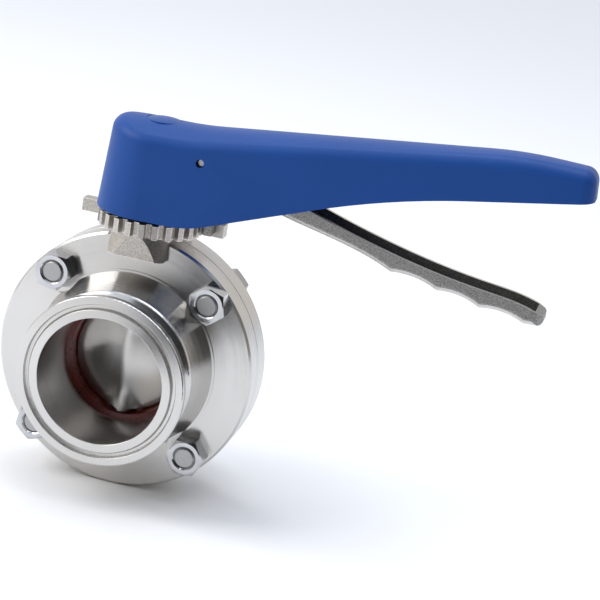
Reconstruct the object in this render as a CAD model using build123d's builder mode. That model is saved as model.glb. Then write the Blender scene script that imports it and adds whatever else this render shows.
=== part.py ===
"""Sanitary butterfly valve, 2 inch clamp ends, with a multi-position pull handle.

Frame: +Y along the pipe line, +Z up the stem, +X along the closed handle.
The origin is where the pipe axis and the stem axis cross, in the middle of the disc.
"""

from build123d import *
from math import atan2, cos, hypot, radians, sin, sqrt, tan
import os

# ---- Pipe line and clamp ferrules ----
PORT_R = 23.75  # bore of the line
FACE_HALF = 38.0  # half of the face-to-face length
FERRULE_R = 32.0
FERRULE_EDGE = 2.9  # thickness of the rim at its edge
CLAMP_ANGLE = 20.0  # slope of the back of the rim
NECK_R = 26.2
GASKET_R = 27.95  # middle of the gasket groove
GASKET_HALF = 1.1
GASKET_DEPTH = 1.5

# ---- Body flanges ----
FLANGE_R = 49.25
FLANGE_T = 10.0  # thickness of each half's flange
FLANGE_CHAMFER = 0.8
JOINT_CHAMFER = 0.25  # where the two flanges meet
HUB_BASE_R = 35.3
HUB_STEP = 0.8  # height of the narrow ring at the foot of the hub
HUB_FOOT_R = 34.5
HUB_TOP_R = 30.6
HUB_LENGTH = 15.4  # from the flange face to the shoulder
SHOULDER_ROUND = 1.6

# ---- Bolts through the flanges ----
BOLT_PITCH = 29.9  # X and Z distance of each bolt from the pipe axis
BOLT_R = 4.0
BOLT_CLEARANCE = 0.25
BOLT_HEAD_H = 5.3
HEX_FLATS = 13.0
NUT_H = 6.6
THREAD_GAP = 0.05
SPOT_FACE_R = 9.2
NUT_TURNS = (21.0, 9.0, 33.0, 48.0)  # how far each nut happens to be turned
HEAD_TURNS = (15.0, -15.0, 15.0, -15.0)  # a flat of each bolt head faces outwards
BOLT_SHORT = 0.1  # how far each bolt ends below the face of its nut
BOLT_POINT = 0.6

# ---- Seat ----
BEAD_R = 21.2  # inner radius, where the disc closes
BEAD_HALF = 2.2
CREASE_R = 22.0  # foot of the bead
CREASE_Y = 6.9
CREASE_DEPTH = 0.35
SEAT_BAND_R = 23.15  # the seat stands a little proud of the port
SEAT_HALF = 8.0
SEAT_R = 27.5
SEAT_KEY_R = 31.0
SEAT_KEY_HALF = 5.0
FIT = 0.05  # play between pieces that seat in one another

# ---- Disc and stem ----
DISC_GAP = 0.1  # between the rim of the disc and the bead
DISC_HALF = 6.0
DISC_EDGE_HALF = 2.8
BOSS_R = 5.4
BOSS_END = 21.4
FLARE_R = 7.4  # each boss widens to this where it meets the seat
FLARE_H = 5.5
BOSS_GAP = 0.3  # round each boss, where it sits in its pocket in the seat
STEM_R = 6.0
TRUNNION_R = 5.0
TRUNNION_END = -38.0
SHAFT_FIT = 0.05  # running fit of every shaft in its hole

# ---- Bearings and seal in the body ----
BUSH_WALL = 2.5
STEM_CLEARANCE = 0.3  # where the stem passes through the halves without touching
SEAL_SPACE = 2.9
BUSH_TOP = 48.0
CUP_FLOOR = 1.7

# ---- Position plate ----
RING_Z = 50.4
RING_H = 5.2
TOOTH_COUNT = 24
TOOTH_TIP_R = 19.6
TOOTH_ROOT_R = 17.3
TOOTH_TIP_W = 2.2
TOOTH_ROOT_W = 3.0
EAR_REACH = 27.4
EAR_W = 5.0
EAR_H = 4.9
STOP_EAR_Y = 3.2  # face of the ear that stops the tongue
FAR_EAR_Y = 1.2
LEG_HALF = 10.9
LEG_FACE_Y = 16.0
LEG_FOOT_Z = 41.5
LEG_TOP_R = 15.9  # radius of the conical leg just under the ring
LEG_SLOPE = 13.0

# ---- Handle shell ----
RIM_GAP = 1.0  # between the ring and the rim of the drum
PLAN_DROP = 0.6  # the widest outline of the shell lies this far below the rim
DRUM_R = 18.7
DRUM_X = -1.9  # middle of the drum, a little behind the stem
DRAFT = 4.2
WALL = 3.0
TOP_Z = 91.2
BACK_FALL = 4.0  # slope of the top behind the cap
BACK_START_X = -8.0
ARM_SLOPE = 7.1
ARM_START_X = 14.0
ARM_CREST_X = 131.0
HANDLE_REACH = 161.8
TIP_HALF = 11.2
TIP_CORNER = 8.2
TIP_FALL = 1.5  # slope of the top behind the crest
CROWN_R = 32.0
EDGE_ROUND = 5.0
BELLY_X = 18.05
BELLY_SLOPE = 20.0
WAIST_X = 88.4
TIP_BELLY_SLOPE = 9.6
CAVITY_TOP = 72.0
CHANNEL_HALF = 7.6  # half width of the channel the trigger folds into
CHANNEL_ROOF = ((26.5, 88.0), (50.0, 84.0), (88.0, 81.0))

# ---- Handle insert, screw and cap ----
SQUARE = 8.5
DRIVE_Z = 56.5
STEM_TOP = 75.5
INSERT_R = 10.5
INSERT_TOP = 76.0
INSERT_PLAY = 0.03
CHEEK_GAP = 0.35
CHEEK_T = 3.0
CHEEKS = ((6.0, 62.0), (17.0, 66.0), (25.0, 77.0), (25.0, 86.5), (8.4, 86.5), (8.4, 74.0), (6.0, 74.0))
CHEEK_SLOT_X = 12.5  # where the slot between the cheeks ends
SCREW_R = 3.0
SCREW_END = 60.0
SCREW_HEAD_R = 5.0
SCREW_HEAD_H = 6.0
WASHER_R = 6.1
WASHER_T = 1.2
SPRING_WASHER_T = 1.6
SCREW_SOCKET = 5.0
SCREW_SOCKET_DEPTH = 3.5
WASHER_PLAY = 0.2
SPLIT_W = 1.0
CAP_R = 6.3
CAP_T = 2.9
CAP_PROUD = 0.5
CAP_DOME = 0.7
CAP_STUB_R = 4.0

# ---- Trigger ----
PIVOT_X = 19.7
PIVOT_Z = 81.3
PIN_R = 1.5
PIN_RECESS = 1.8
HUB_R = 5.2
PAWL_HALF = 2.8
LEG = ((21.3, 52.0), (21.3, 56.5), (18.2, 62.0), (16.5, 79.0), (22.9, 79.0), (24.0, 70.0), (24.0, 52.0))
TONGUE_Z = 52.0
TONGUE_H = 3.4
TONGUE_GAP = 0.3  # between the tongue and the tooth tips at rest
TONGUE_TIP_W = 1.2
TONGUE_ROOT_W = 2.0
TONGUE_ROOT_X = 21.4
GRIP_HALF = 7.0
GRIP_WALL = 1.6
TROUGH_DEPTH = 3.2

# Outline of the grip, as offsets from the pivot: the open top edge, then the finger ridges below
GRIP_TOP = ((4.0, 3.3), (25.0, -5.2), (44.6, -12.1), (73.3, -20.1), (106.0, -26.0), (123.5, -28.8), (130.0, -31.2))
GRIP_RIDGES = ((129.6, -34.9), (122.8, -35.1), (106.3, -33.0), (90.3, -30.1), (72.8, -27.0))
GRIP_BELLY = ((50.0, -19.6), (29.8, -15.0), (8.3, -6.3))
FINGER_SAG = 1.4
RIDGE_ROUND = 2.5
GRIP_ROUND = 2.2
GRIP_WIDENS = (8.3, 17.0)  # distance from the pivot where the hub's width grows into the grip's
TROUGH_SPAN = (15.0, 126.5)

# ---- Trigger spring ----
SPRING_X = 44.0
SPRING_R = 3.2
SPRING_WIRE_R = 0.4
SPRING_TURNS = 5
SPRING_GAP = 0.1

# ---- Sizes that follow from the ones above ----
disc_r = BEAD_R - DISC_GAP
upper_bush_r = STEM_R + SHAFT_FIT + BUSH_WALL
lower_bush_r = TRUNNION_R + SHAFT_FIT + BUSH_WALL
seal_wire_r = BUSH_WALL / 2
body_step_z = SEAT_KEY_R + FIT
cup_bottom_z = TRUNNION_END - 0.3 - CUP_FLOOR
rim_z = RING_Z + RING_H + RIM_GAP
plan_z = rim_z - PLAN_DROP
cheek_in = PAWL_HALF + CHEEK_GAP
cheek_out = cheek_in + CHEEK_T
tongue_tip_r = TOOTH_TIP_R + TONGUE_GAP
drum_taper = tan(radians(DRAFT))
handle_half_at_pivot = (
    DRUM_R
    - (PIVOT_X - DRUM_X) * (DRUM_R - TIP_HALF) / (HANDLE_REACH - DRUM_X)
    - (PIVOT_Z - plan_z) * drum_taper
)
CORNERS = ((-1, 1), (1, 1), (1, -1), (-1, -1))
FRONT = (0, -1, 0)


def save(piece, name):
    """Label one finished piece and write its STEP file."""
    piece.part.label = name
    export_step(piece.part, f"parts/{name}.step")


def arc_sag(start, end, sag):
    """Middle point of an arc from start to end that stands sag above the chord."""
    run, rise = end[0] - start[0], end[1] - start[1]
    length = hypot(run, rise)
    return ((start[0] + end[0]) / 2 - sag * rise / length, (start[1] + end[1]) / 2 + sag * run / length)


# ---- Body half: flange, conical hub, neck and ferrule, turned round the pipe axis ----
def body_half():
    face_y, flange_y = -FACE_HALF, -FLANGE_T
    shoulder_y = flange_y - HUB_LENGTH
    rim_back_y = face_y + FERRULE_EDGE
    neck_end_y = rim_back_y + (FERRULE_R - NECK_R) * tan(radians(CLAMP_ANGLE))
    neck_start_y = shoulder_y - (HUB_TOP_R - NECK_R) * 0.5
    groove_floor = GASKET_HALF * 0.6
    outline = [  # (radius, y, rounding of the corner)
        (SEAT_KEY_R + FIT, 0, 0),
        (FLANGE_R - JOINT_CHAMFER, 0, 0),
        (FLANGE_R, -JOINT_CHAMFER, 0),
        (FLANGE_R, flange_y + FLANGE_CHAMFER, 0),
        (FLANGE_R - FLANGE_CHAMFER, flange_y, 0),
        (HUB_BASE_R, flange_y, 0),
        (HUB_BASE_R, flange_y - HUB_STEP, 0),
        (HUB_FOOT_R, flange_y - HUB_STEP, 0),
        (HUB_TOP_R, shoulder_y, SHOULDER_ROUND),
        (NECK_R, neck_start_y, 1.0),
        (NECK_R, neck_end_y, 1.0),
        (FERRULE_R, rim_back_y, 0.4),
        (FERRULE_R, face_y, 0.5),
        (GASKET_R + GASKET_HALF, face_y, 0.2),
        (GASKET_R + groove_floor, face_y + GASKET_DEPTH, 0.4),
        (GASKET_R - groove_floor, face_y + GASKET_DEPTH, 0.4),
        (GASKET_R - GASKET_HALF, face_y, 0.2),
        (PORT_R, face_y, 0.3),
        (PORT_R, -SEAT_HALF - FIT, 0),
        (SEAT_R + FIT, -SEAT_HALF - FIT, 0),
        (SEAT_R + FIT, -SEAT_KEY_HALF - FIT, 0),
        (SEAT_KEY_R + FIT, -SEAT_KEY_HALF - FIT, 0),
    ]
    with BuildPart() as half:
        with BuildSketch(Plane.XY):
            with BuildLine():
                FilletPolyline([p[:2] for p in outline], radius=[p[2] for p in outline], close=True)
            make_face()
        revolve(axis=Axis.Y)
        with BuildSketch(Plane.XZ.offset(FLANGE_T)):
            with GridLocations(2 * BOLT_PITCH, 2 * BOLT_PITCH, 2, 2):
                Circle(SPOT_FACE_R)
        extrude(amount=HUB_LENGTH, mode=Mode.SUBTRACT)
        with BuildSketch(Plane.XZ):
            with GridLocations(2 * BOLT_PITCH, 2 * BOLT_PITCH, 2, 2):
                Circle(BOLT_R + BOLT_CLEARANCE)
        extrude(amount=FLANGE_T, mode=Mode.SUBTRACT)
        with BuildSketch(Plane.XY.offset(1.5 - SEAT_R)):
            Circle(TRUNNION_R + STEM_CLEARANCE)
        extrude(amount=-5, mode=Mode.SUBTRACT)
        with BuildSketch(Plane.XY.offset(SEAT_R - 1.5)):
            Circle(STEM_R + STEM_CLEARANCE)
        extrude(amount=5, mode=Mode.SUBTRACT)
        with BuildSketch(Plane.XY.offset(SEAT_KEY_R - 1)):
            Circle(upper_bush_r + FIT)
        extrude(amount=FLANGE_R, mode=Mode.SUBTRACT)
        with BuildSketch(Plane.XY.offset(cup_bottom_z - FIT)):
            Circle(lower_bush_r + FIT)
        extrude(amount=FIT - cup_bottom_z - SEAT_KEY_R + 1, mode=Mode.SUBTRACT)
    return half


front_body = body_half()

with BuildPart() as rear_body:
    mirror(front_body.part, about=Plane.XZ)

# ---- Seat: a silicone ring with a raised bead, keyed into both halves ----
with BuildPart() as seat:
    half_ring = [
        (BEAD_R, BEAD_HALF),
        (CREASE_R, CREASE_Y),
        (CREASE_R + CREASE_DEPTH, CREASE_Y + 0.1),
        (CREASE_R, CREASE_Y + 0.4),
        (SEAT_BAND_R, SEAT_HALF),
        (SEAT_R, SEAT_HALF),
        (SEAT_R, SEAT_KEY_HALF),
        (SEAT_KEY_R, SEAT_KEY_HALF),
    ]
    with BuildSketch(Plane.XY):
        with BuildLine():
            Polyline(half_ring + [(r, -y) for r, y in reversed(half_ring)], close=True)
        make_face()
    revolve(axis=Axis.Y)
    with BuildSketch(Plane.XY):
        Circle(FLARE_R + BOSS_GAP)
    extrude(amount=BOSS_END + BOSS_GAP, both=True, mode=Mode.SUBTRACT)
    with BuildSketch(Plane.XY):
        Circle(STEM_R + SHAFT_FIT)
    extrude(amount=SEAT_KEY_R + 1, mode=Mode.SUBTRACT)
    with BuildSketch(Plane.XY):
        Circle(TRUNNION_R + SHAFT_FIT)
    extrude(amount=-SEAT_KEY_R - 1, mode=Mode.SUBTRACT)

# ---- Disc and stem in one piece: a lens with a spherical rim, two bosses, trunnion and square drive ----
with BuildPart() as disc:
    edge_r = sqrt(disc_r**2 - DISC_EDGE_HALF**2)
    bulge = DISC_HALF - DISC_EDGE_HALF
    lens_r = (edge_r**2 + bulge**2) / (2 * bulge)
    quarter_r = lens_r * sin(atan2(edge_r, lens_r - bulge) / 2)
    quarter_y = DISC_HALF - lens_r + sqrt(lens_r**2 - quarter_r**2)
    flare_mid = (FLARE_R - 0.7 * (FLARE_R - BOSS_R), BOSS_END - FLARE_H * 0.3)
    with BuildSketch(Plane.XZ):
        with BuildLine():
            Line((0, -BOSS_END), (0, BOSS_END))
            Line((0, BOSS_END), (FLARE_R, BOSS_END))
            ThreePointArc((FLARE_R, BOSS_END), flare_mid, (BOSS_R, BOSS_END - FLARE_H))
            Line((BOSS_R, BOSS_END - FLARE_H), (BOSS_R, FLARE_H - BOSS_END))
            ThreePointArc((BOSS_R, FLARE_H - BOSS_END), (flare_mid[0], -flare_mid[1]), (FLARE_R, -BOSS_END))
            Line((FLARE_R, -BOSS_END), (0, -BOSS_END))
        make_face()
    revolve(axis=Axis.Z)
    with BuildSketch(Plane.XY):
        with BuildLine():
            Line((0, -DISC_HALF), (0, DISC_HALF))
            ThreePointArc((0, DISC_HALF), (quarter_r, quarter_y), (edge_r, DISC_EDGE_HALF))
            ThreePointArc((edge_r, DISC_EDGE_HALF), (disc_r, 0), (edge_r, -DISC_EDGE_HALF))
            ThreePointArc((edge_r, -DISC_EDGE_HALF), (quarter_r, -quarter_y), (0, -DISC_HALF))
        make_face()
    revolve(axis=Axis.Y)
    with BuildSketch(Plane.XY.offset(BOSS_END - 1)):
        Circle(STEM_R)
    extrude(amount=DRIVE_Z - BOSS_END + 1)
    with BuildSketch(Plane.XY.offset(DRIVE_Z)):
        RectangleRounded(SQUARE, SQUARE, 0.6)
    extrude(amount=STEM_TOP - DRIVE_Z)
    with BuildSketch(Plane.XY.offset(1 - BOSS_END)):
        Circle(TRUNNION_R)
    extrude(amount=TRUNNION_END + BOSS_END - 1)
    chamfer(faces().sort_by(Axis.Z)[0].edges(), 0.6)
    with Locations((0, 0, STEM_TOP)):
        Hole(SCREW_R + THREAD_GAP, depth=STEM_TOP - SCREW_END + 1)

# ---- Bearings and stem seal, held between the two halves ----
with BuildPart() as upper_bushing:
    with BuildSketch(Plane.XY.offset(body_step_z + SEAL_SPACE)):
        Circle(upper_bush_r)
        Circle(STEM_R + SHAFT_FIT, mode=Mode.SUBTRACT)
    extrude(amount=BUSH_TOP - body_step_z - SEAL_SPACE)

with BuildPart() as lower_bushing:
    with BuildSketch(Plane.XY.offset(cup_bottom_z)):
        Circle(lower_bush_r)
    extrude(amount=-body_step_z - cup_bottom_z)
    with Locations((0, 0, -body_step_z)):
        Hole(TRUNNION_R + SHAFT_FIT, depth=-body_step_z - cup_bottom_z - CUP_FLOOR)

with BuildPart() as stem_seal:
    with BuildSketch(Plane.XZ):
        with Locations((STEM_R + SHAFT_FIT + seal_wire_r, body_step_z + SEAL_SPACE / 2)):
            Circle(seal_wire_r)
    revolve(axis=Axis.Z)

# ---- Position plate: toothed ring with two ears, on conical legs that straddle the flanges ----
with BuildPart() as position_plate:
    leg_h = RING_Z - LEG_FOOT_Z
    with Locations((0, 0, LEG_FOOT_Z + leg_h / 2)):
        Cone(LEG_TOP_R + leg_h * tan(radians(LEG_SLOPE)), LEG_TOP_R, leg_h)
        Box(2 * LEG_HALF, 2 * LEG_FACE_Y, leg_h, mode=Mode.INTERSECT)
    with BuildSketch(Plane.XZ.offset(-FLANGE_T - 0.1)):
        Circle(FLANGE_R + 0.1)
    extrude(amount=2 * FLANGE_T + 0.2, mode=Mode.SUBTRACT)
    with BuildSketch(Plane.XY.offset(RING_Z)):
        Circle(TOOTH_ROOT_R)
        tip_x = sqrt(TOOTH_TIP_R**2 - TOOTH_TIP_W**2 / 4)
        tooth = [(TOOTH_ROOT_R - 1, TOOTH_ROOT_W / 2), (tip_x, TOOTH_TIP_W / 2)]
        with PolarLocations(0, TOOTH_COUNT, start_angle=180 / TOOTH_COUNT):
            Polygon(*tooth, *[(x, -y) for x, y in reversed(tooth)], align=None)
    extrude(amount=RING_H)
    ear_length = EAR_REACH - TOOTH_ROOT_R + 3
    with BuildSketch(Plane.XY.offset(RING_Z)):
        with Locations((EAR_REACH - ear_length / 2, STOP_EAR_Y + EAR_W / 2)):
            Rectangle(ear_length, EAR_W)
        with Locations((ear_length / 2 - EAR_REACH, FAR_EAR_Y + EAR_W / 2)):
            Rectangle(ear_length, EAR_W)
    extrude(amount=EAR_H)
    with BuildSketch(Plane.XY.offset(RING_Z - 5)):
        Circle(STEM_R + 0.4)
    extrude(amount=RING_H + 5, mode=Mode.SUBTRACT)


# ---- Flange bolts and nuts: hex prisms with their corners turned off ----
corner_r = HEX_FLATS / sqrt(3)
corner_drop = (corner_r - HEX_FLATS / 2) * 0.6
corner_cut = corner_r - HEX_FLATS / 2 + 0.4


def bolt(sign_x, sign_z, turn):
    """Hex bolt from behind the rear flange to just past the nut."""
    head_plane = Plane(origin=(sign_x * BOLT_PITCH, FLANGE_T, sign_z * BOLT_PITCH), z_dir=FRONT)
    with BuildPart(head_plane) as piece:
        Cylinder(corner_r, BOLT_HEAD_H, align=(Align.CENTER, Align.CENTER, Align.MAX))
        chamfer(edges().filter_by(GeomType.CIRCLE).sort_by(Axis.Y)[-1], corner_drop, corner_cut)
        with BuildSketch(head_plane):
            RegularPolygon(corner_r, 6, rotation=turn)
        extrude(amount=-BOLT_HEAD_H, mode=Mode.INTERSECT)
        with BuildSketch(head_plane):
            Circle(BOLT_R)
        extrude(amount=2 * FLANGE_T + NUT_H - BOLT_SHORT)
        chamfer(edges().filter_by(GeomType.CIRCLE).sort_by(Axis.Y)[0], BOLT_POINT)
    return piece


def nut(sign_x, sign_z, turn):
    """Hex nut on the front flange, with its thread countersunk."""
    nut_plane = Plane(origin=(sign_x * BOLT_PITCH, -FLANGE_T, sign_z * BOLT_PITCH), z_dir=FRONT)
    with BuildPart(nut_plane) as piece:
        Cylinder(corner_r, NUT_H, align=(Align.CENTER, Align.CENTER, Align.MIN))
        chamfer(edges().filter_by(GeomType.CIRCLE).sort_by(Axis.Y)[0], corner_drop, corner_cut)
        with BuildSketch(nut_plane):
            RegularPolygon(corner_r, 6, rotation=turn)
        extrude(amount=NUT_H, mode=Mode.INTERSECT)
        with BuildSketch(nut_plane):
            Circle(BOLT_R + THREAD_GAP)
        extrude(amount=NUT_H, mode=Mode.SUBTRACT)
        mouth = edges().filter_by(GeomType.CIRCLE).filter_by(lambda e: e.radius < BOLT_R + 1)
        chamfer(mouth.sort_by(Axis.Y)[0], BOLT_POINT)
    return piece


# ---- Handle shell: a drafted, crowned arm on a drum, hollow where the trigger folds in ----
before_x, beyond_x = DRUM_X - 1.5 * DRUM_R, HANDLE_REACH + DRUM_R
back_z = TOP_Z - (BACK_START_X - before_x) * tan(radians(BACK_FALL))
crest_z = TOP_Z + (ARM_CREST_X - ARM_START_X) * tan(radians(ARM_SLOPE))
waist_z = rim_z + (WAIST_X - BELLY_X) * tan(radians(BELLY_SLOPE))


def handle_plan(height):
    """Outline of the handle from above, drawn in by the draft at a height over its widest outline."""
    with BuildSketch(Plane.XY.offset(plan_z + height)) as plan:
        with Locations((DRUM_X, 0)):
            Circle(DRUM_R - height * drum_taper)
        with Locations(
            (HANDLE_REACH - TIP_CORNER, TIP_HALF - TIP_CORNER),
            (HANDLE_REACH - TIP_CORNER, TIP_CORNER - TIP_HALF),
        ):
            Circle(TIP_CORNER - height * drum_taper)
        make_hull()
    return plan.sketch


def upright(points, half_width):
    """Block with an XZ outline, to both sides of the middle."""
    with BuildPart() as block:
        with BuildSketch(Plane.XZ):
            with BuildLine():
                Polyline(*points, close=True)
            make_face()
        extrude(amount=half_width, both=True)
    return block.part


with BuildPart() as crown:
    with BuildLine(Plane.XZ) as ridge_line:
        FilletPolyline(
            (before_x, back_z),
            (BACK_START_X, TOP_Z),
            (ARM_START_X, TOP_Z),
            (ARM_CREST_X, crest_z),
            (beyond_x, crest_z - (beyond_x - ARM_CREST_X) * tan(radians(TIP_FALL))),
            radius=(60, 120, 150),
        )
    with BuildSketch(Plane(origin=(before_x, 0, back_z - CROWN_R), z_dir=(1, 0, 0))):
        Circle(CROWN_R)
    sweep(path=ridge_line.wire())

with BuildPart() as handle_shell:
    loft([handle_plan(0), handle_plan(crest_z - plan_z + 2)], ruled=True)
    add(crown.part, mode=Mode.INTERSECT)
    with BuildSketch(Plane.XZ):
        with BuildLine():
            FilletPolyline(
                (before_x, rim_z),
                (BELLY_X, rim_z),
                (WAIST_X, waist_z),
                (beyond_x, waist_z + (beyond_x - WAIST_X) * tan(radians(TIP_BELLY_SLOPE))),
                (beyond_x, rim_z - 5),
                (before_x, rim_z - 5),
                radius=(0, 40, 300, 0, 0, 0),
                close=True,
            )
        make_face()
    extrude(amount=2 * DRUM_R, both=True, mode=Mode.SUBTRACT)

    def above_ridge(point):
        return point.Z - TOP_Z - max(0, point.X - ARM_START_X) * tan(radians(ARM_SLOPE))

    along_top = edges().filter_by(GeomType.BSPLINE).filter_by(
        lambda e: min(above_ridge(e @ 0), above_ridge(e @ 1)) > -7 and above_ridge(e @ 0.5) < -1.2
    )
    fillet(along_top, EDGE_ROUND)
    with BuildSketch(Plane.XY.offset(rim_z)):
        with Locations((DRUM_X, 0)):
            Circle(DRUM_R - WALL)
    extrude(amount=CAVITY_TOP - rim_z, taper=DRAFT, mode=Mode.SUBTRACT)
    with BuildSketch(Plane.XY.offset(rim_z)):
        Circle(INSERT_R + FIT)
    extrude(amount=INSERT_TOP + FIT - rim_z, mode=Mode.SUBTRACT)
    channel_start, channel_end = CHANNEL_ROOF[0][0], CHANNEL_ROOF[-1][0]
    channel = [(0, rim_z - 5), (channel_end, rim_z - 5), *reversed(CHANNEL_ROOF)]
    channel += [(channel_start, CAVITY_TOP), (0, CAVITY_TOP)]
    add(upright(channel, CHANNEL_HALF), mode=Mode.SUBTRACT)
    cheek_back, cheek_roof = CHEEKS[4][0] - FIT, CHANNEL_ROOF[0][1]
    pocket = [(cheek_back, CAVITY_TOP), (channel_start, CAVITY_TOP)]
    pocket += [(channel_start, cheek_roof), (cheek_back, cheek_roof)]
    add(upright(pocket, cheek_out + FIT), mode=Mode.SUBTRACT)
    with BuildSketch(Plane.XY.offset(INSERT_TOP)):
        Circle(CAP_R + FIT)
    extrude(amount=TOP_Z - INSERT_TOP + 5, mode=Mode.SUBTRACT)
    with BuildSketch(Plane.XZ):
        with Locations((PIVOT_X, PIVOT_Z)):
            Circle(PIN_R + FIT)
    extrude(amount=DRUM_R, both=True, mode=Mode.SUBTRACT)

# ---- Handle insert: takes the square of the stem and carries the trigger between two cheeks ----
with BuildPart() as handle_insert:
    with BuildSketch(Plane.XY.offset(DRIVE_Z)):
        Circle(INSERT_R)
    extrude(amount=INSERT_TOP - DRIVE_Z)
    add(upright(CHEEKS, cheek_out))
    slot_end = PIVOT_X + 10
    slot = [(CHEEK_SLOT_X, DRIVE_Z), (slot_end, DRIVE_Z), (slot_end, TOP_Z), (CHEEK_SLOT_X, TOP_Z)]
    add(upright(slot, cheek_in), mode=Mode.SUBTRACT)
    with BuildSketch(Plane.XY.offset(DRIVE_Z)):
        RectangleRounded(SQUARE + 2 * FIT, SQUARE + 2 * FIT, 0.6)
    extrude(amount=INSERT_TOP - DRIVE_Z, mode=Mode.SUBTRACT)
    with BuildSketch(Plane.XZ):
        with Locations((PIVOT_X, PIVOT_Z)):
            Circle(PIN_R + INSERT_PLAY)
    extrude(amount=DRUM_R, both=True, mode=Mode.SUBTRACT)

# ---- Trigger: a troughed grip with finger ridges, a hub on the pin and a leg with a tongue ----
def from_pivot(points):
    return [(PIVOT_X + x, PIVOT_Z + z) for x, z in points]


with BuildPart() as trigger:
    top, ridges, belly = from_pivot(GRIP_TOP), from_pivot(GRIP_RIDGES), from_pivot(GRIP_BELLY)
    with BuildSketch(Plane.XZ.offset(GRIP_HALF)) as grip_side:
        with BuildLine():
            Spline(*top)
            Line(top[-1], ridges[0])
            Line(ridges[0], ridges[1])
            for start, end in zip(ridges[1:-1], ridges[2:]):
                ThreePointArc(start, arc_sag(start, end, -FINGER_SAG), end)
            Spline(ridges[-1], *belly)
            Line(belly[-1], top[0])
        make_face()
        ridge_tips = grip_side.vertices().filter_by(
            lambda v: min(hypot(v.X - x, v.Y - z) for x, z in ridges) < 0.01
        )
        fillet(ridge_tips, RIDGE_ROUND)
    extrude(amount=-2 * GRIP_HALF)
    under = edges().filter_by(lambda e: abs(abs((e @ 0.5).Y) - GRIP_HALF) < 0.01 and abs((e % 0.5).Y) < 0.1)
    under = under.filter_by(lambda e: e.geom_type != GeomType.LINE and max((e @ 0).Z, (e @ 1).Z) < top[1][1])
    under = under.filter_by(lambda e: min(abs((e @ 0).Z - top[-1][1]), abs((e @ 1).Z - top[-1][1])) > 0.01)
    fillet(under, GRIP_ROUND)
    waist, shoulder = PIVOT_X + GRIP_WIDENS[0], PIVOT_X + GRIP_WIDENS[1]
    with BuildSketch(Plane.XY.offset(TONGUE_Z - 10)):
        with BuildLine():
            FilletPolyline(
                (PIVOT_X, PAWL_HALF),
                (waist, PAWL_HALF),
                (shoulder, GRIP_HALF),
                (ridges[0][0] + 0.1, GRIP_HALF),
                (ridges[0][0] + 0.1, -GRIP_HALF),
                (shoulder, -GRIP_HALF),
                (waist, -PAWL_HALF),
                (PIVOT_X, -PAWL_HALF),
                radius=(0, 3, 6, 4.5, 4.5, 6, 3, 0),
                close=True,
            )
        make_face()
    extrude(amount=TOP_Z, mode=Mode.INTERSECT)
    trough_x = [PIVOT_X + x for x in TROUGH_SPAN]
    with BuildSketch(Plane.XZ.offset(GRIP_HALF - GRIP_WALL)):
        with BuildLine():
            Spline(*[(x, z - TROUGH_DEPTH) for x, z in top])
            Polyline((top[-1][0], top[-1][1] - TROUGH_DEPTH), (top[-1][0], TOP_Z), (top[0][0], TOP_Z))
            Line((top[0][0], TOP_Z), (top[0][0], top[0][1] - TROUGH_DEPTH))
        make_face()
        with Locations(((trough_x[0] + trough_x[1]) / 2, PIVOT_Z)):
            Rectangle(trough_x[1] - trough_x[0], 2 * TOP_Z, mode=Mode.INTERSECT)
    extrude(amount=2 * (GRIP_WALL - GRIP_HALF), mode=Mode.SUBTRACT)
    with BuildSketch(Plane.XZ):
        with Locations((PIVOT_X, PIVOT_Z)):
            Circle(HUB_R)
    extrude(amount=PAWL_HALF, both=True)
    add(upright(LEG, PAWL_HALF))
    with BuildSketch(Plane.XY.offset(TONGUE_Z)):
        Polygon(
            (TONGUE_ROOT_X, -TONGUE_ROOT_W / 2),
            (TONGUE_ROOT_X, TONGUE_ROOT_W / 2),
            (tongue_tip_r, TONGUE_TIP_W / 2),
            (tongue_tip_r, -TONGUE_TIP_W / 2),
            align=None,
        )
    extrude(amount=TONGUE_H)
    with BuildSketch(Plane.XZ):
        with Locations((PIVOT_X, PIVOT_Z)):
            Circle(PIN_R + SHAFT_FIT)
    extrude(amount=GRIP_HALF, both=True, mode=Mode.SUBTRACT)

# ---- Trigger pin ----
with BuildPart() as trigger_pin:
    with BuildSketch(Plane.XZ.offset(handle_half_at_pivot - PIN_RECESS)):
        with Locations((PIVOT_X, PIVOT_Z)):
            Circle(PIN_R)
    extrude(amount=-2 * (handle_half_at_pivot - PIN_RECESS))
    chamfer(edges().filter_by(GeomType.CIRCLE), 0.3)

# ---- Trigger spring: stands in the trough and bears on the roof of the channel ----
grip_line = [(PIVOT_X + x, PIVOT_Z + z - TROUGH_DEPTH) for x, z in GRIP_TOP]
(foot_x, foot_z), (next_x, next_z) = grip_line[1], grip_line[2]
spring_low = foot_z + (next_z - foot_z) * (SPRING_X - SPRING_R - foot_x) / (next_x - foot_x)
(roof_x, roof_z), (lower_x, lower_z) = CHANNEL_ROOF[0], CHANNEL_ROOF[1]
spring_high = roof_z + (lower_z - roof_z) * (SPRING_X + SPRING_R - roof_x) / (lower_x - roof_x)
spring_low += SPRING_WIRE_R + SPRING_GAP + 0.3
spring_high -= SPRING_WIRE_R + SPRING_GAP + 0.3

with BuildPart() as trigger_spring:
    with BuildLine():
        coil = Helix(
            pitch=(spring_high - spring_low) / SPRING_TURNS,
            height=spring_high - spring_low,
            radius=SPRING_R - SPRING_WIRE_R,
            center=(SPRING_X, 0, spring_low),
        )
    with BuildSketch(Plane(origin=coil @ 0, z_dir=coil % 0)):
        Circle(SPRING_WIRE_R)
    sweep(path=coil)

# ---- Handle screw, its two washers and the cap over them ----
washer_z = INSERT_TOP + WASHER_T
head_z = washer_z + SPRING_WASHER_T
head_top = head_z + SCREW_HEAD_H
cap_low = TOP_Z + CAP_PROUD - CAP_T

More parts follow.
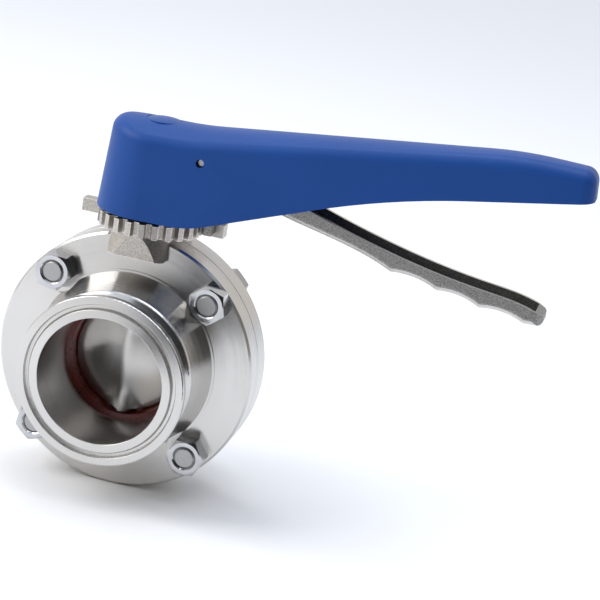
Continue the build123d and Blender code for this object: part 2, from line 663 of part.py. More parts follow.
with BuildPart() as handle_screw:
    with BuildSketch(Plane.XY.offset(head_z)):
        Circle(SCREW_HEAD_R)
    extrude(amount=SCREW_HEAD_H)
    chamfer(faces().sort_by(Axis.Z)[-1].edges(), 0.5)
    with BuildSketch(Plane.XY.offset(SCREW_END)):
        Circle(SCREW_R)
    extrude(amount=head_z - SCREW_END)
    chamfer(faces().sort_by(Axis.Z)[0].edges(), 0.5)
    with BuildSketch(Plane.XY.offset(head_top)):
        RegularPolygon(SCREW_SOCKET / 2, 6, major_radius=False)
    extrude(amount=-SCREW_SOCKET_DEPTH, mode=Mode.SUBTRACT)

with BuildPart() as flat_washer:
    with BuildSketch(Plane.XY.offset(INSERT_TOP)):
        Circle(WASHER_R)
        Circle(SCREW_R + WASHER_PLAY, mode=Mode.SUBTRACT)
    extrude(amount=WASHER_T)
    rims = edges().filter_by(GeomType.CIRCLE).filter_by(lambda e: e.radius > SCREW_HEAD_R)
    chamfer(rims.sort_by(Axis.Z)[-1], 0.2)

with BuildPart() as spring_washer:
    with BuildSketch(Plane.XY.offset(washer_z)):
        Circle(SCREW_HEAD_R + 0.2)
        Circle(SCREW_R + WASHER_PLAY, mode=Mode.SUBTRACT)
        with Locations((0, SCREW_HEAD_R)):
            Rectangle(SPLIT_W, 2 * SCREW_R, mode=Mode.SUBTRACT)
    extrude(amount=SPRING_WASHER_T)

with BuildPart() as cap_plug:
    dome_r = (CAP_R**2 + CAP_DOME**2) / (2 * CAP_DOME)
    with BuildSketch(Plane.XZ):
        with BuildLine():
            top_z = TOP_Z + CAP_PROUD
            dome_mid = dome_r * sin(0.5 * atan2(CAP_R, dome_r - CAP_DOME))
            Line((0, head_top + FIT), (CAP_STUB_R, head_top + FIT))
            Line((CAP_STUB_R, head_top + FIT), (CAP_STUB_R, cap_low))
            Line((CAP_STUB_R, cap_low), (CAP_R, cap_low))
            Line((CAP_R, cap_low), (CAP_R, top_z - CAP_DOME))
            ThreePointArc(
                (CAP_R, top_z - CAP_DOME),
                (dome_mid, top_z - dome_r + sqrt(dome_r**2 - dome_mid**2)),
                (0, top_z),
            )
            Line((0, top_z), (0, head_top + FIT))
        make_face()
    revolve(axis=Axis.Z)
    rims = edges().filter_by(GeomType.CIRCLE).filter_by(lambda e: abs(e.radius - CAP_R) < 0.01)
    fillet(rims.sort_by(Axis.Z)[-1], 0.25)

# ---- Write one file per piece ----
os.makedirs("parts", exist_ok=True)
save(front_body, "front_body")
save(rear_body, "rear_body")
save(seat, "seat")
save(disc, "disc")
save(upper_bushing, "upper_bushing")
save(lower_bushing, "lower_bushing")
save(stem_seal, "stem_seal")
save(position_plate, "position_plate")
for number, corner in enumerate(CORNERS, start=1):
    save(bolt(*corner, HEAD_TURNS[number - 1]), f"bolt_{number}")
    save(nut(*corner, NUT_TURNS[number - 1]), f"nut_{number}")
save(handle_shell, "handle_shell")
save(handle_insert, "handle_insert")
save(trigger, "trigger")
save(trigger_pin, "trigger_pin")
save(trigger_spring, "trigger_spring")
save(handle_screw, "handle_screw")
save(flat_washer, "flat_washer")
save(spring_washer, "spring_washer")
save(cap_plug, "cap_plug")
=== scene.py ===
# %% [markdown]
# A clamp-ferrule butterfly valve: two turned stainless halves bolted round a red silicone seat, a disc on a
# stem, and a blue lever with a squeeze trigger on a notched plate. The CAD model is loaded as a fixed frame:
# it holds every shape and size, so most of this lesson is about how stainless steel, silicone and moulded
# plastic take the light.
# %% Load the frame
import math

import bpy
import numpy as np
from mathutils import Matrix, Vector


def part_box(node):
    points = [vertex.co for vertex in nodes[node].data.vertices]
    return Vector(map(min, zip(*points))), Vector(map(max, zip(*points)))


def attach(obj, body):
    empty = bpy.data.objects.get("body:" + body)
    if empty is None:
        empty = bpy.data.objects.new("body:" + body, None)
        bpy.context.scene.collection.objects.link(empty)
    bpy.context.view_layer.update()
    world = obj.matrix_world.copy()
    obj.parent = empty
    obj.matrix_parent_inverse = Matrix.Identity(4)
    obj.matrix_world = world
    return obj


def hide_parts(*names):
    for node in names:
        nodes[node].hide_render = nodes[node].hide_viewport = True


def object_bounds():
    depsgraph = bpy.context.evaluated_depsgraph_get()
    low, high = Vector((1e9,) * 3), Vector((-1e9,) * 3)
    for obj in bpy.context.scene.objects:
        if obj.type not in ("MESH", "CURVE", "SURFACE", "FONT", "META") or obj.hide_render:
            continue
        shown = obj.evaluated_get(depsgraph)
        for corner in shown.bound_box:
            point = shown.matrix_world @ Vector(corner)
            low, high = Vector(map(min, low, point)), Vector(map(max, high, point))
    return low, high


MM = 0.001
MICRON = 0.001 * MM
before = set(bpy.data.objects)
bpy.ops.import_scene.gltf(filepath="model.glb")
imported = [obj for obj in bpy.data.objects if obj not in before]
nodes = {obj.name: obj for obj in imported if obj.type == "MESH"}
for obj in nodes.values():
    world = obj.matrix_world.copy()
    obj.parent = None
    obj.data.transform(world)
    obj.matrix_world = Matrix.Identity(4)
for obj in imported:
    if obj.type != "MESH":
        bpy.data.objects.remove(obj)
cad_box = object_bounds()
print("CAD box (m):", [tuple(round(c, 4) for c in corner) for corner in cad_box])

# %% [markdown]
# The camera looks down on the front ferrule from a little to the right of the pipe's axis. Its lens is long,
# so that the bore, the front flange and the whole lever show together with little perspective.
# %% Camera
EYE = Vector((0.20546, -0.70923, 0.25537))
LOOK = Vector((-0.19308, 0.94439, -0.29344))
ROLL_RIGHT = Vector((0.96744, 0.24584, 0.15454))
SENSOR_MM, LENS_MM = 36.0, 123.84

camera_data = bpy.data.cameras.new("camera")
camera_data.sensor_width, camera_data.lens = SENSOR_MM, LENS_MM
camera_data.clip_start, camera_data.clip_end = 0.01, 20
camera = bpy.data.objects.new("camera", camera_data)
bpy.context.scene.collection.objects.link(camera)
back = -LOOK.normalized()
right = (ROLL_RIGHT - back * ROLL_RIGHT.dot(back)).normalized()
turn = Matrix((right, back.cross(right), back)).transposed().to_4x4()
camera.matrix_world = Matrix.Translation(EYE) @ turn
bpy.context.scene.camera = camera
print("camera", round(EYE.length, 3), "m from the middle of the disc")

# %% [markdown]
# A material is a small graph of nodes, and these helpers keep each graph short to read. One makes a material
# and hands over its shader, and one makes a node with its settings and links in a single call. The rest are
# the nodes used most: sums, spans, blends of colour, noise and relief.
# %% Node helpers


def new_material(name):
    """A material with one Principled shader; gives the material, its node tree and the shader."""
    material = bpy.data.materials.new(name)
    material.use_nodes = True
    return material, material.node_tree, material.node_tree.nodes["Principled BSDF"]


def node(tree, kind, inputs=None, **settings):
    """A node of a kind, its settings set and each input given a value or linked from a socket."""
    made = tree.nodes.new(kind)
    for key, value in settings.items():
        setattr(made, key, value)
    feed(tree, made, inputs or {})
    return made


def feed(tree, target, inputs):
    """Give each named input a value, or link it when the value is another node's socket."""
    for socket, value in inputs.items():
        if isinstance(value, bpy.types.NodeSocket):
            tree.links.new(value, target.inputs[socket])
        else:
            target.inputs[socket].default_value = value


def calc(tree, operation, *values):
    """One math node; gives its result socket."""
    return node(tree, "ShaderNodeMath", dict(enumerate(values)), operation=operation).outputs[0]


def remap(tree, value, low, high, to_low=0.0, to_high=1.0):
    """Smoothly carry the span low to high over to to_low to to_high, and hold it outside."""
    inputs = {"Value": value, "From Min": low, "From Max": high, "To Min": to_low, "To Max": to_high}
    return node(tree, "ShaderNodeMapRange", inputs, interpolation_type="SMOOTHSTEP").outputs[0]


def shade(tint, factor=1.0):
    """A tint made darker by a factor, as an opaque colour."""
    return tuple(part * factor for part in tint) + (1,)


def mix_colour(tree, factor, first, second):
    """Blend of two colours; gives the result socket."""
    mixer = node(tree, "ShaderNodeMix", data_type="RGBA")
    feed(tree, mixer, {0: factor, 6: first, 7: second})
    return mixer.outputs[2]


def noise(tree, vector, scale, detail=2.0, roughness=0.5):
    """Noise from 0 to 1 at so many features a metre."""
    inputs = {"Vector": vector, "Scale": scale, "Detail": detail, "Roughness": roughness}
    return node(tree, "ShaderNodeTexNoise", inputs).outputs["Fac"]


def place(tree):
    """The surface point in metres, in the object's own coordinates."""
    return node(tree, "ShaderNodeTexCoord").outputs["Object"]


def bump(tree, height, depth, below=None):
    """Normals of a relief whose height runs from 0 to 1 over a depth in metres, laid over those below."""
    inputs = {"Height": height, "Distance": depth, "Strength": 1.0}
    if below is not None:
        inputs["Normal"] = below
    return node(tree, "ShaderNodeBump", inputs).outputs[0]


print("node helpers ready")

# %% [markdown]
# Steel has no colour of its own to show: it shows the room. So the studio is built for its reflections: a
# white room, cooler overhead and warmer at the sides, with one soft dark area to the right behind the camera.
# That area draws the grey wedge on the turned faces. Without it the metal would look like white plastic.
# %% Studio room
world = bpy.data.worlds.new("studio")
bpy.context.scene.world = world
world.use_nodes = True
tree = world.node_tree
BACKDROP = (1.0, 1.0, 1.0, 1)
OVERHEAD = (0.88, 0.95, 1.08, 1)
AROUND = (0.82, 0.79, 0.76, 1)
LEFT_WALL = (1.00, 0.99, 0.97, 1)
DARK_SIDE = (0.045, 0.043, 0.042, 1)
DARK_TURN = math.radians(-52)  # which way the dark area lies, from +X towards +Y
DARK_HALF, DARK_FADE = math.radians(38), math.radians(54)
DARK_TOP, DARK_CLEAR = 0.62, 0.85  # sine of the heights where it starts and ends fading
OVERHEAD_FROM, OVERHEAD_FULL = 0.25, 0.8  # sine of the heights where the overhead colour comes in
LEFT_FROM, LEFT_FULL = 0.1, -0.7  # where the left wall comes in, as the X of the direction looked in

towards = node(tree, "ShaderNodeTexCoord").outputs["Generated"]
axis = node(tree, "ShaderNodeSeparateXYZ", {0: towards})
height_part = remap(tree, axis.outputs["Z"], OVERHEAD_FROM, OVERHEAD_FULL)
left_part = remap(tree, axis.outputs["X"], LEFT_FROM, LEFT_FULL)
heading = calc(tree, "ARCTAN2", axis.outputs["Y"], axis.outputs["X"])
off_centre = calc(tree, "ABSOLUTE", calc(tree, "SUBTRACT", heading, DARK_TURN))
dark_across = remap(tree, off_centre, DARK_FADE, DARK_HALF)
dark_up = remap(tree, axis.outputs["Z"], DARK_CLEAR, DARK_TOP)
dark_part = calc(tree, "MULTIPLY", dark_across, dark_up)
room = mix_colour(tree, left_part, AROUND, LEFT_WALL)
room = mix_colour(tree, height_part, room, OVERHEAD)
room = mix_colour(tree, dark_part, room, DARK_SIDE)
seen_directly = node(tree, "ShaderNodeLightPath").outputs["Is Camera Ray"]
room = mix_colour(tree, seen_directly, room, BACKDROP)
feed(tree, tree.nodes["Background"], {"Color": room, "Strength": 1.0})
bpy.context.scene.view_settings.view_transform = "Standard"
print("world", world.name)

# %% [markdown]
# The floor is plain and pale. Its own light bounces up into the lower half of every steel part.
# %% Floor
FLOOR_HALF = 6.0
lowest = cad_box[0].z
floor_mesh = bpy.data.meshes.new("floor")
corners = [(x, y, lowest) for x, y in ((-1, -1), (1, -1), (1, 1), (-1, 1))]
floor_mesh.from_pydata([(x * FLOOR_HALF, y * FLOOR_HALF, z) for x, y, z in corners], [], [(0, 1, 2, 3)])
floor = bpy.data.objects.new("floor", floor_mesh)
bpy.context.scene.collection.objects.link(floor)
floor_paint, tree, shader = new_material("floor_paint")
feed(tree, shader, {"Base Color": (0.93, 0.93, 0.93, 1), "Roughness": 0.9, "Specular IOR Level": 0.1})
floor_mesh.materials.append(floor_paint)
print("floor at", round(lowest, 4), "m")

# %% [markdown]
# Two lamps add direction to the even room: a broad soft key at the upper left, which rolls over the drum of
# the lever, and a narrow strip overhead, which the polished edges pick up as bright lines.
# %% Lamps


def area_light(name, place_at, aim, size, power, tint=(1, 1, 1)):
    """One soft rectangular lamp at a place, turned to aim at a point."""
    data = bpy.data.lights.new(name, "AREA")
    data.shape, data.size, data.size_y = "RECTANGLE", *size
    data.energy, data.color = power, tint
    lamp = bpy.data.objects.new(name, data)
    bpy.context.scene.collection.objects.link(lamp)
    lamp.location = place_at
    lamp.rotation_euler = (Vector(aim) - Vector(place_at)).to_track_quat("-Z", "Y").to_euler()
    return lamp


lamps = [
    area_light("key", (-0.75, -0.30, 0.75), (0, 0, 0.04), (0.6, 0.6), 6.0, (1.0, 0.98, 0.96)),
    area_light("strip", (0.1, 0.1, 0.9), (0.05, 0, 0.05), (0.9, 0.25), 3.0, (0.94, 0.97, 1.0)),
]
print("lamps", [lamp.name for lamp in lamps])

# %% [markdown]
# A black card beside polished metal gives it something dark to show, as studios have long known. This one
# stands on the floor in front and to the right. Only reflections see it: it throws no shadow, and no camera
# shows it.
# %% Black card
CARD_Y, CARD_LEFT, CARD_RIGHT, CARD_TOP = -0.36, -0.035, 0.60, 0.70
card_mesh = bpy.data.meshes.new("black_card")
card_corners = [(CARD_LEFT, lowest), (CARD_RIGHT, lowest), (CARD_RIGHT, CARD_TOP), (CARD_LEFT, CARD_TOP)]
card_mesh.from_pydata([(x, CARD_Y, z) for x, z in card_corners], [], [(0, 1, 2, 3)])
card = bpy.data.objects.new("black_card", card_mesh)
bpy.context.scene.collection.objects.link(card)
card.visible_camera = card.visible_shadow = card.visible_diffuse = False
card_black, tree, shader = new_material("card_black")
feed(tree, shader, {"Base Color": (0.03, 0.03, 0.03, 1), "Roughness": 1.0, "Specular IOR Level": 0.0})
card_mesh.materials.append(card_black)
print("card", card.name)

# %% [markdown]
# The two body halves are turned on a lathe. The tool leaves rings far finer than a hair, so a highlight
# smears across the rings and stays sharp along them. The shader's anisotropy does that, with its tangent
# running round the pipe. Rings of noise on the distance from the axis add what a close look shows, and a
# faint dish leans the flat faces outwards, as a facing cut does.
# %% Turned steel
STEEL_TINT = (0.62, 0.605, 0.585)
RING_DEPTH = 0.6 * MICRON
ACROSS = 0.25  # a quarter turn, in turns: the highlight smears across the rings


def around_pipe(tree, point):
    """The point's distance from the pipe's axis, sqrt(x^2 + z^2), and its place along the pipe, y."""
    parts = node(tree, "ShaderNodeSeparateXYZ", {0: point}).outputs
    squares = calc(tree, "ADD", calc(tree, "POWER", parts["X"], 2.0), calc(tree, "POWER", parts["Z"], 2.0))
    return calc(tree, "SQRT", squares), parts["Y"]


def turned_steel(name, tint, roughness, anisotropy, dish):
    """Lathe-turned stainless: rings round the pipe, smeared highlights, a faint dish on flat faces."""
    material, tree, shader = new_material(name)
    point = place(tree)
    radius, along = around_pipe(tree, point)
    ring_place = node(tree, "ShaderNodeCombineXYZ", {"X": radius, "Y": along}).outputs[0]
    fine = noise(tree, ring_place, 1500)
    broad = noise(tree, ring_place, 420)
    cloud = noise(tree, point, 60, 3.0)
    haze = calc(tree, "ADD", calc(tree, "MULTIPLY", broad, 0.5), calc(tree, "MULTIPLY", cloud, 0.5))
    rough = remap(tree, haze, 0.3, 0.7, roughness - 0.05, roughness + 0.06)
    colour = mix_colour(tree, fine, shade(tint, 0.93), shade(tint))
    rings = bump(tree, fine, RING_DEPTH)
    dished = bump(tree, radius, dish, below=rings)
    tangent = node(tree, "ShaderNodeTangent", direction_type="RADIAL", axis="Y").outputs[0]
    feed(tree, shader, {
        "Base Color": colour, "Metallic": 1.0, "Roughness": rough, "Normal": dished, "Tangent": tangent,
        "Anisotropic": anisotropy, "Anisotropic Rotation": ACROSS,
    })
    return material


body_steel = turned_steel("turned_steel", STEEL_TINT, 0.22, 0.8, -0.13)
print("made", body_steel.name)

# %% [markdown]
# Nuts and bolts are bright cold-formed steel. Their flats are smooth, and the cut ends of the bolts are
# rougher. Both get a soft mottle, since formed steel is never evenly bright.
# %% Fastener steel


def bright_steel(name, tint, roughness, grain, depth):
    """Bright formed steel with a fine grain and a mottled gloss."""
    material, tree, shader = new_material(name)
    point = place(tree)
    mottle = noise(tree, point, 220, 4.0, 0.6)
    speck = noise(tree, point, grain, 3.0, 0.6)
    colour = mix_colour(tree, remap(tree, mottle, 0.35, 0.7), shade(tint, 0.86), shade(tint))
    rough = remap(tree, mottle, 0.3, 0.7, roughness * 0.75, roughness * 1.4)
    feed(tree, shader, {
        "Base Color": colour, "Metallic": 1.0, "Roughness": rough, "Normal": bump(tree, speck, depth),
    })
    return material


nut_steel = bright_steel("nut_steel", (0.54, 0.54, 0.55), 0.13, 900, 8 * MICRON)
bolt_steel = bright_steel("bolt_steel", (0.42, 0.415, 0.41), 0.34, 1500, 30 * MICRON)
print("made", nut_steel.name, bolt_steel.name)

# %% [markdown]
# The notched plate is an investment casting, left as cast: a fine sandy skin, darker in the hollows, and worn
# bright along every edge. The worn edges come from the bevel node, which rounds the normals near an edge:
# where the rounded normal leaves the flat one, the skin is rubbed.
# %% Cast steel


WORN_BRIGHT = (0.82, 0.80, 0.77)
WEAR_REACH = 0.5 * MM
FLAT_MATCH, EDGE_MATCH = 0.995, 0.90  # cosine between the two normals where the wear starts and is full


def edge_wear(tree, reach):
    """From 0 on a flat to 1 on an edge, within a reach in metres."""
    rounded = node(tree, "ShaderNodeBevel", {"Radius": reach}, samples=4).outputs[0]
    flat = node(tree, "ShaderNodeNewGeometry").outputs["Normal"]
    match = node(tree, "ShaderNodeVectorMath", {0: rounded, 1: flat}, operation="DOT_PRODUCT")
    return remap(tree, match.outputs["Value"], FLAT_MATCH, EDGE_MATCH)


def cast_steel(name, tint, hollow_tint, roughness, worn_roughness, depth):
    """As-cast stainless: pitted skin with dark hollows, rubbed bright along its edges."""
    material, tree, shader = new_material(name)
    point = place(tree)
    skin = noise(tree, point, 1900, 4.0, 0.6)
    patches = noise(tree, point, 160, 3.0)
    worn = calc(tree, "MULTIPLY", edge_wear(tree, WEAR_REACH), remap(tree, skin, 0.25, 0.55, 0.45, 1.0))
    dull = mix_colour(tree, remap(tree, skin, 0.35, 0.6), shade(hollow_tint), shade(tint))
    dull = mix_colour(tree, remap(tree, patches, 0.35, 0.75, 0.0, 0.35), dull, shade(tint, 0.7))
    colour = mix_colour(tree, worn, dull, shade(WORN_BRIGHT))
    rough = remap(tree, worn, 0.0, 1.0, roughness, worn_roughness)
    feed(tree, shader, {
        "Base Color": colour, "Metallic": 1.0, "Roughness": rough, "Normal": bump(tree, skin, depth),
    })
    return material


plate_steel = cast_steel("plate_steel", (0.56, 0.525, 0.48), (0.36, 0.33, 0.30), 0.36, 0.2, 40 * MICRON)
print("made", plate_steel.name)

# %% [markdown]
# The trigger is the same kind of casting. Its ridged underside is polished where hands rub it, and its far
# rim carries the same bright polish as a painted highlight. The sides and the trough keep a dark, coarse
# skin. One material tells the two apart by where a point lies and which way it faces.
# %% Trigger steel
SKIN_DEEP, SKIN_PROUD = (0.20, 0.195, 0.185), (0.40, 0.39, 0.37)
# Polished steel tones, for the worn underside and for the painted highlight on the far rim.
POLISH_AND_HIGHLIGHT_DULL, POLISH_AND_HIGHLIGHT_CLEAR = (0.54, 0.515, 0.485), (0.70, 0.68, 0.655)
UNDER_FROM, UNDER_FULL = -0.12, -0.42  # how far the skin faces down where the polish starts and is full
RIM_FADE = 0.1 * MM


def trigger_steel(name, highlight_rim_from, depth):
    """Casting polished on its underside, with a painted highlight of the same polish on the far rim, outwards
    from the given distance behind the middle.
    """
    material, tree, shader = new_material(name)
    point = place(tree)
    across = node(tree, "ShaderNodeSeparateXYZ", {0: point}).outputs["Y"]
    normal = node(tree, "ShaderNodeTexCoord").outputs["Normal"]
    facing = node(tree, "ShaderNodeSeparateXYZ", {0: normal}).outputs
    under = remap(tree, facing["Z"], UNDER_FROM, UNDER_FULL)
    far_side = remap(tree, across, highlight_rim_from, highlight_rim_from + RIM_FADE)
    # Polish on the underside is wear; on the far rim alone it is a painted highlight.
    rim = calc(tree, "MULTIPLY", far_side, remap(tree, facing["Z"], 0.1, 0.3))
    polish_and_highlight = calc(tree, "MAXIMUM", under, rim)
    cast = calc(tree, "SUBTRACT", 1.0, polish_and_highlight)
    skin = noise(tree, point, 1700, 4.0, 0.65)
    haze = noise(tree, point, 260, 3.0)
    deep = mix_colour(tree, remap(tree, skin, 0.35, 0.65), shade(SKIN_DEEP), shade(SKIN_PROUD))
    polish_and_highlight_tone = mix_colour(tree, haze, shade(POLISH_AND_HIGHLIGHT_DULL), shade(POLISH_AND_HIGHLIGHT_CLEAR))
    rough = calc(tree, "ADD", calc(tree, "MULTIPLY", cast, 0.26), remap(tree, haze, 0.3, 0.7, 0.15, 0.24))
    feed(tree, shader, {
        "Base Color": mix_colour(tree, cast, polish_and_highlight_tone, deep), "Metallic": 1.0, "Roughness": rough,
        "Normal": bump(tree, calc(tree, "MULTIPLY", skin, cast), depth),
    })
    return material


trigger_finish = trigger_steel("trigger_steel", 5.4 * MM, 50 * MICRON)
print("made", trigger_finish.name)

# %% [markdown]
# The lever's shell is moulded from blue nylon. The mould is spark-eroded, so the skin has a fine grain that
# spreads the light, and the colour barely varies. The cap is a separate, slightly smoother moulding.
# %% Blue nylon
SCUFF_BLUE = (0.07, 0.16, 0.42)


def moulded_blue(name, tint, roughness, depth):
    """Blue nylon with a fine spark-eroded grain and a few pale scuffs."""
    material, tree, shader = new_material(name)
    point = place(tree)
    grain = noise(tree, point, 2600, 3.0, 0.6)
    drift = noise(tree, point, 45, 3.0)
    scuffs = remap(tree, noise(tree, point, 900, 5.0, 0.75), 0.68, 0.80, 0.0, 0.30)
    colour = mix_colour(tree, remap(tree, drift, 0.3, 0.7), shade(tint, 0.92), shade(tint))
    colour = mix_colour(tree, scuffs, colour, shade(SCUFF_BLUE))
    rough = remap(tree, grain, 0.3, 0.7, roughness - 0.05, roughness + 0.07)
    feed(tree, shader, {
        "Base Color": colour, "Roughness": rough, "Specular IOR Level": 0.2,
        "Normal": bump(tree, grain, depth),
    })
    return material


shell_blue = moulded_blue("shell_blue", (0.010, 0.062, 0.268), 0.42, 20 * MICRON)
cap_blue = moulded_blue("cap_blue", (0.010, 0.060, 0.260), 0.36, 10 * MICRON)
print("made", shell_blue.name, cap_blue.name)

# %% [markdown]
# The seat is dark red silicone: it takes light a little way in, so its shadows stay warm, and its skin is
# satin. Inside the body sit plain bearing plastic, a black seal and the hidden hardware, each with its own
# quiet finish.
# %% Silicone, bearings and seal
SCATTER_REACH = (0.8 * MM, 0.2 * MM, 0.1 * MM)  # how far red, green and blue light pass under the skin


def soft_polymer(name, tint, roughness, grain, depth, scatter):
    """Rubber or bearing plastic: even colour with a faint cloud, satin skin, and a little scatter."""
    material, tree, shader = new_material(name)
    point = place(tree)
    cloud = noise(tree, point, 130, 3.0)
    skin = noise(tree, point, grain, 3.0)
    colour = mix_colour(tree, cloud, shade(tint, 0.8), shade(tint))
    feed(tree, shader, {
        "Base Color": colour, "Roughness": remap(tree, skin, 0.3, 0.7, roughness - 0.06, roughness + 0.06),
        "Normal": bump(tree, skin, depth), "Subsurface Weight": scatter,
        "Subsurface Radius": SCATTER_REACH, "Subsurface Scale": 1.0,
    })
    return material


seat_silicone = soft_polymer("seat_silicone", (0.155, 0.018, 0.011), 0.32, 1200, 15 * MICRON, 0.15)
bearing_plastic = soft_polymer("bearing_plastic", (0.80, 0.79, 0.74), 0.40, 700, 10 * MICRON, 0.0)
seal_rubber = soft_polymer("seal_rubber", (0.03, 0.03, 0.03), 0.5, 900, 10 * MICRON, 0.0)
print("made", seat_silicone.name, bearing_plastic.name, seal_rubber.name)

# %% [markdown]
# The disc is machined from one forging with its stem. Its faces are a shallow lens, and where the stem
# passes, a round boss swells out of the lens and flares towards the seat. The two don't meet in a corner:
# the forging runs from one to the other in a soft hollow. So the whole face is one height over a round grid,
# the smooth maximum of the lens and the boss, which no boolean of simple solids would give.
# %% Disc measures
disc_low, disc_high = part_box("disc")
DISC_R = disc_high.x
RIM_HALF = 2.8 * MM
LENS_HALF = 6.0 * MM
BOSS_R, FLARE_R = 5.0 * MM, 6.9 * MM
BOSS_SPREAD, FLARE_SPREAD = 1.2, 2.2  # how broad the boss is against its height
BOSS_END = 21.35 * MM
POCKET_R = 7.6 * MM  # round hollow in the seat that each boss turns in
POCKET_FADE, OUTLINE_FADE = 0.5 * MM, 1.0 * MM  # over which the face and the outline leave the pocket
FLARE_START = 7.0 * MM
BLEND = 2.2 * MM
FACE_R = math.sqrt(DISC_R**2 - RIM_HALF**2)
print("disc radius", round(DISC_R / MM, 2), "mm, face radius", round(FACE_R / MM, 2), "mm")


# %% Disc face height
def smoothstep(value):
    """0 below 0, 1 above 1, and 3v^2 - 2v^3 between."""
    v = np.clip(value, 0, 1)
    return v * v * (3 - 2 * v)


def smooth_max(first, second, blend):
    """The larger of two heights, with the corner between them filled over about blend."""
    return 0.5 * (first + second + np.sqrt((first - second) ** 2 + blend**2))


def face_height(x, z):
    """Height of the disc's face above its middle plane.

    The lens falls with the square of the radius. The boss is a rounded ridge along Z that falls with the
    square of the distance from the middle, and whose height and width grow towards the seat. Outside the
    boss nothing may pass the sphere that turns freely in the seat, so there the height is held under
    sqrt(disc^2 - radius^2).
    """
    radius = np.hypot(x, z)
    lens = LENS_HALF - (LENS_HALF - RIM_HALF) * (radius / FACE_R) ** 2
    flare = smoothstep((np.abs(z) - FLARE_START) / (BOSS_END - FLARE_START)) ** 1.5
    bar = BOSS_R + (FLARE_R - BOSS_R) * flare
    spread = BOSS_SPREAD + (FLARE_SPREAD - BOSS_SPREAD) * flare
    boss = bar - x**2 / (spread * bar)
    height = smooth_max(lens, boss, BLEND)
    free = np.sqrt(np.maximum(DISC_R**2 - radius**2, RIM_HALF**2))
    in_boss = smoothstep((POCKET_R - np.hypot(x, height)) / POCKET_FADE)
    return in_boss * height + (1 - in_boss) * np.minimum(height, free)


# %% Disc mesh
RINGS, SPOKES, RIM_STEPS = 96, 320, 10


def disc_grid():
    """Points of the whole disc as a grid: out over the front, round the rim, and back over the rear.

    A row is a circle of the grid, let out a little where the bosses reach into the seat. The front rows stand
    at minus the face height, the back rows mirror them, and the rim rows bulge out to the sphere that the
    seat closes on.
    """
    angle = np.linspace(0, 2 * np.pi, SPOKES, endpoint=False)
    beside = np.abs(FACE_R * np.cos(angle))
    outline = FACE_R + (BOSS_END - FACE_R) * smoothstep((POCKET_R - beside) / OUTLINE_FADE)
    radius = np.outer(np.linspace(0, 1, RINGS + 1)[1:], outline)
    x, z = radius * np.cos(angle), radius * np.sin(angle)
    height = face_height(x, z)
    edge_y = np.outer(np.linspace(-1, 1, RIM_STEPS + 2)[1:-1], height[-1])
    bulge = np.sqrt(DISC_R**2 - np.minimum(np.abs(edge_y), RIM_HALF) ** 2) - FACE_R
    rim_r = outline + bulge * (outline < FACE_R + 0.01 * MM)
    front = np.stack((x, -height, z), axis=-1)
    rim = np.stack((rim_r * np.cos(angle), edge_y, rim_r * np.sin(angle)), axis=-1)
    rear = np.stack((x, height, z), axis=-1)[::-1]
    return np.concatenate((front, rim, rear))


def shaft_rows(radius, low, high, bevel):
    """Rows of a plain shaft along Z, as (radius, z) pairs from its low end to its high end."""
    return [(radius - bevel, low), (radius, low + bevel), (radius, high - bevel), (radius - bevel, high)]


def turned_grid(rows, sides):
    """A profile of (radius, z) rows carried round the Z axis."""
    angle = np.linspace(0, 2 * np.pi, sides, endpoint=False)
    profile = np.array(rows)
    x, y = np.outer(profile[:, 0], np.cos(angle)), np.outer(profile[:, 0], np.sin(angle))
    return np.stack((x, y, np.repeat(profile[:, 1:2], sides, axis=1)), axis=-1)


def closed_faces(rows, columns, first_point):
    """Quads of a grid that closes round its columns, and fans over its first and last row.

    Gives the quads and the triangles; the two middle points follow the grid's own points.
    """
    row, column = np.meshgrid(np.arange(rows - 1), np.arange(columns), indexing="ij")
    after = (column + 1) % columns
    here, there = row * columns + column, row * columns + after
    quads = np.stack((here, there, there + columns, here + columns), axis=-1).reshape(-1, 4) + first_point
    edge = np.arange(columns)
    ahead = (edge + 1) % columns
    start, last = rows * columns, (rows - 1) * columns
    low_fan = np.stack((np.full(columns, start), ahead, edge), axis=-1) + first_point
    high_fan = np.stack((np.full(columns, start + 1), last + edge, last + ahead), axis=-1) + first_point
    return quads, np.concatenate((low_fan, high_fan))


def grids_to_mesh(name, grids):
    """One mesh from several closed grids, each with a middle point at both of its ends."""
    points, quads, fans, count = [], [], [], 0
    for grid in grids:
        rows, columns, _ = grid.shape
        flat = np.concatenate((grid.reshape(-1, 3), [grid[0].mean(axis=0), grid[-1].mean(axis=0)]))
        some_quads, some_fans = closed_faces(rows, columns, count)
        points.append(flat)
        quads.append(some_quads)
        fans.append(some_fans)
        count += len(flat)
    mesh = bpy.data.meshes.new(name)
    faces = np.concatenate(quads).tolist() + np.concatenate(fans).tolist()
    mesh.from_pydata(np.concatenate(points).tolist(), [], faces)
    mesh.validate()
    mesh.polygons.foreach_set("use_smooth", np.ones(len(mesh.polygons), dtype=bool))
    return mesh


TRUNNION_R, STEM_R, DRIVE_R = 5.0 * MM, 6.0 * MM, 4.6 * MM
SHAFT_ROOT = 15 * MM  # both shafts start inside the bosses
STEM_END, DRIVE_ROOT = 56.5 * MM, 56 * MM
TRUNNION_BEVEL, STEM_BEVEL = 0.5 * MM, 0.4 * MM
SHAFT_SIDES = 64
trunnion = turned_grid(shaft_rows(TRUNNION_R, disc_low.z, -SHAFT_ROOT, TRUNNION_BEVEL), SHAFT_SIDES)
stem = turned_grid(shaft_rows(STEM_R, SHAFT_ROOT, STEM_END, STEM_BEVEL), SHAFT_SIDES)
drive = turned_grid(shaft_rows(DRIVE_R, DRIVE_ROOT, disc_high.z, STEM_BEVEL), 4)
disc_mesh = grids_to_mesh("disc_and_stem", [disc_grid(), trunnion, stem, drive])
disc_piece = bpy.data.objects.new("disc_and_stem", disc_mesh)
bpy.context.scene.collection.objects.link(disc_piece)
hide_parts("disc")
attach(disc_piece, "handle")
print("disc and stem:", len(disc_mesh.polygons), "faces")

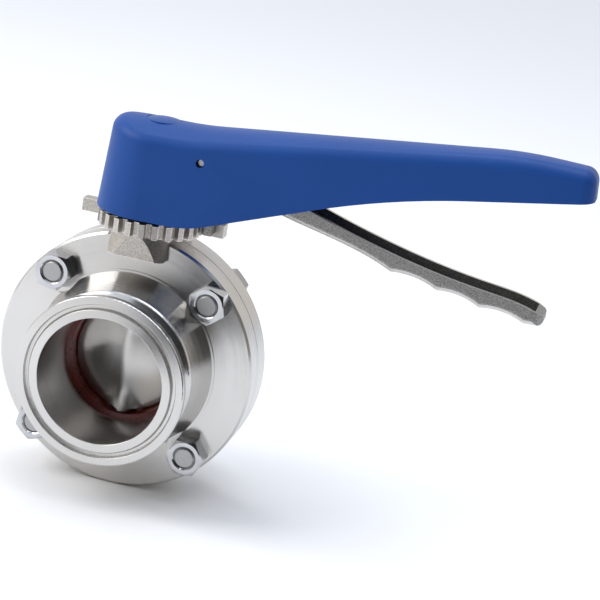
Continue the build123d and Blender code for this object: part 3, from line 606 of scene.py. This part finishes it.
# %% [markdown]
# The disc's faces are brushed straight across, then rubbed to a satin. The brushing is noise stretched along
# X, and the gloss smears up and down, across the brush lines.
# %% Brushed disc steel


def brushed_steel(name, tint, roughness, anisotropy):
    """Satin steel brushed along X."""
    material, tree, shader = new_material(name)
    point = place(tree)
    stretched = node(tree, "ShaderNodeMapping", {"Vector": point, "Scale": (0.04, 1.0, 1.0)}).outputs[0]
    lines = noise(tree, stretched, 900, 1.0)
    broad = noise(tree, stretched, 200, 1.0)
    colour = mix_colour(tree, lines, shade(tint, 0.95), shade(tint))
    tangent = node(tree, "ShaderNodeTangent", direction_type="RADIAL", axis="Z").outputs[0]
    feed(tree, shader, {
        "Base Color": colour, "Metallic": 1.0,
        "Roughness": remap(tree, broad, 0.3, 0.7, roughness - 0.01, roughness + 0.02),
        "Tangent": tangent,
        "Anisotropic": anisotropy, "Anisotropic Rotation": ACROSS,
    })
    return material


disc_steel = brushed_steel("disc_steel", (0.57, 0.55, 0.525), 0.30, 0.3)
disc_mesh.materials.append(disc_steel)
print("made", disc_steel.name)

# %% [markdown]
# Each CAD node keeps its mesh and gets its finish by assigning to its own material slots.
# %% Dress the nodes
hidden_steel = bright_steel("hidden_steel", (0.62, 0.61, 0.60), 0.28, 800, 10 * MICRON)
pin_steel = bright_steel("pin_steel", (0.40, 0.40, 0.41), 0.30, 900, 10 * MICRON)
finishes = {
    "front_body": body_steel, "rear_body": body_steel, "seat": seat_silicone, "disc": disc_steel,
    "upper_bushing": bearing_plastic, "lower_bushing": bearing_plastic, "stem_seal": seal_rubber,
    "position_plate": plate_steel, "handle_shell": shell_blue, "cap_plug": cap_blue,
    "handle_insert": hidden_steel, "trigger": trigger_finish, "trigger_pin": pin_steel,
    "trigger_spring": hidden_steel, "handle_screw": hidden_steel, "flat_washer": hidden_steel,
    "spring_washer": hidden_steel,
}
for number in (1, 2, 3, 4):
    finishes[f"bolt_{number}"], finishes[f"nut_{number}"] = bolt_steel, nut_steel
for name, part in nodes.items():
    for slot in part.material_slots:
        slot.material = finishes[name]
print("dressed", len(nodes), "nodes")
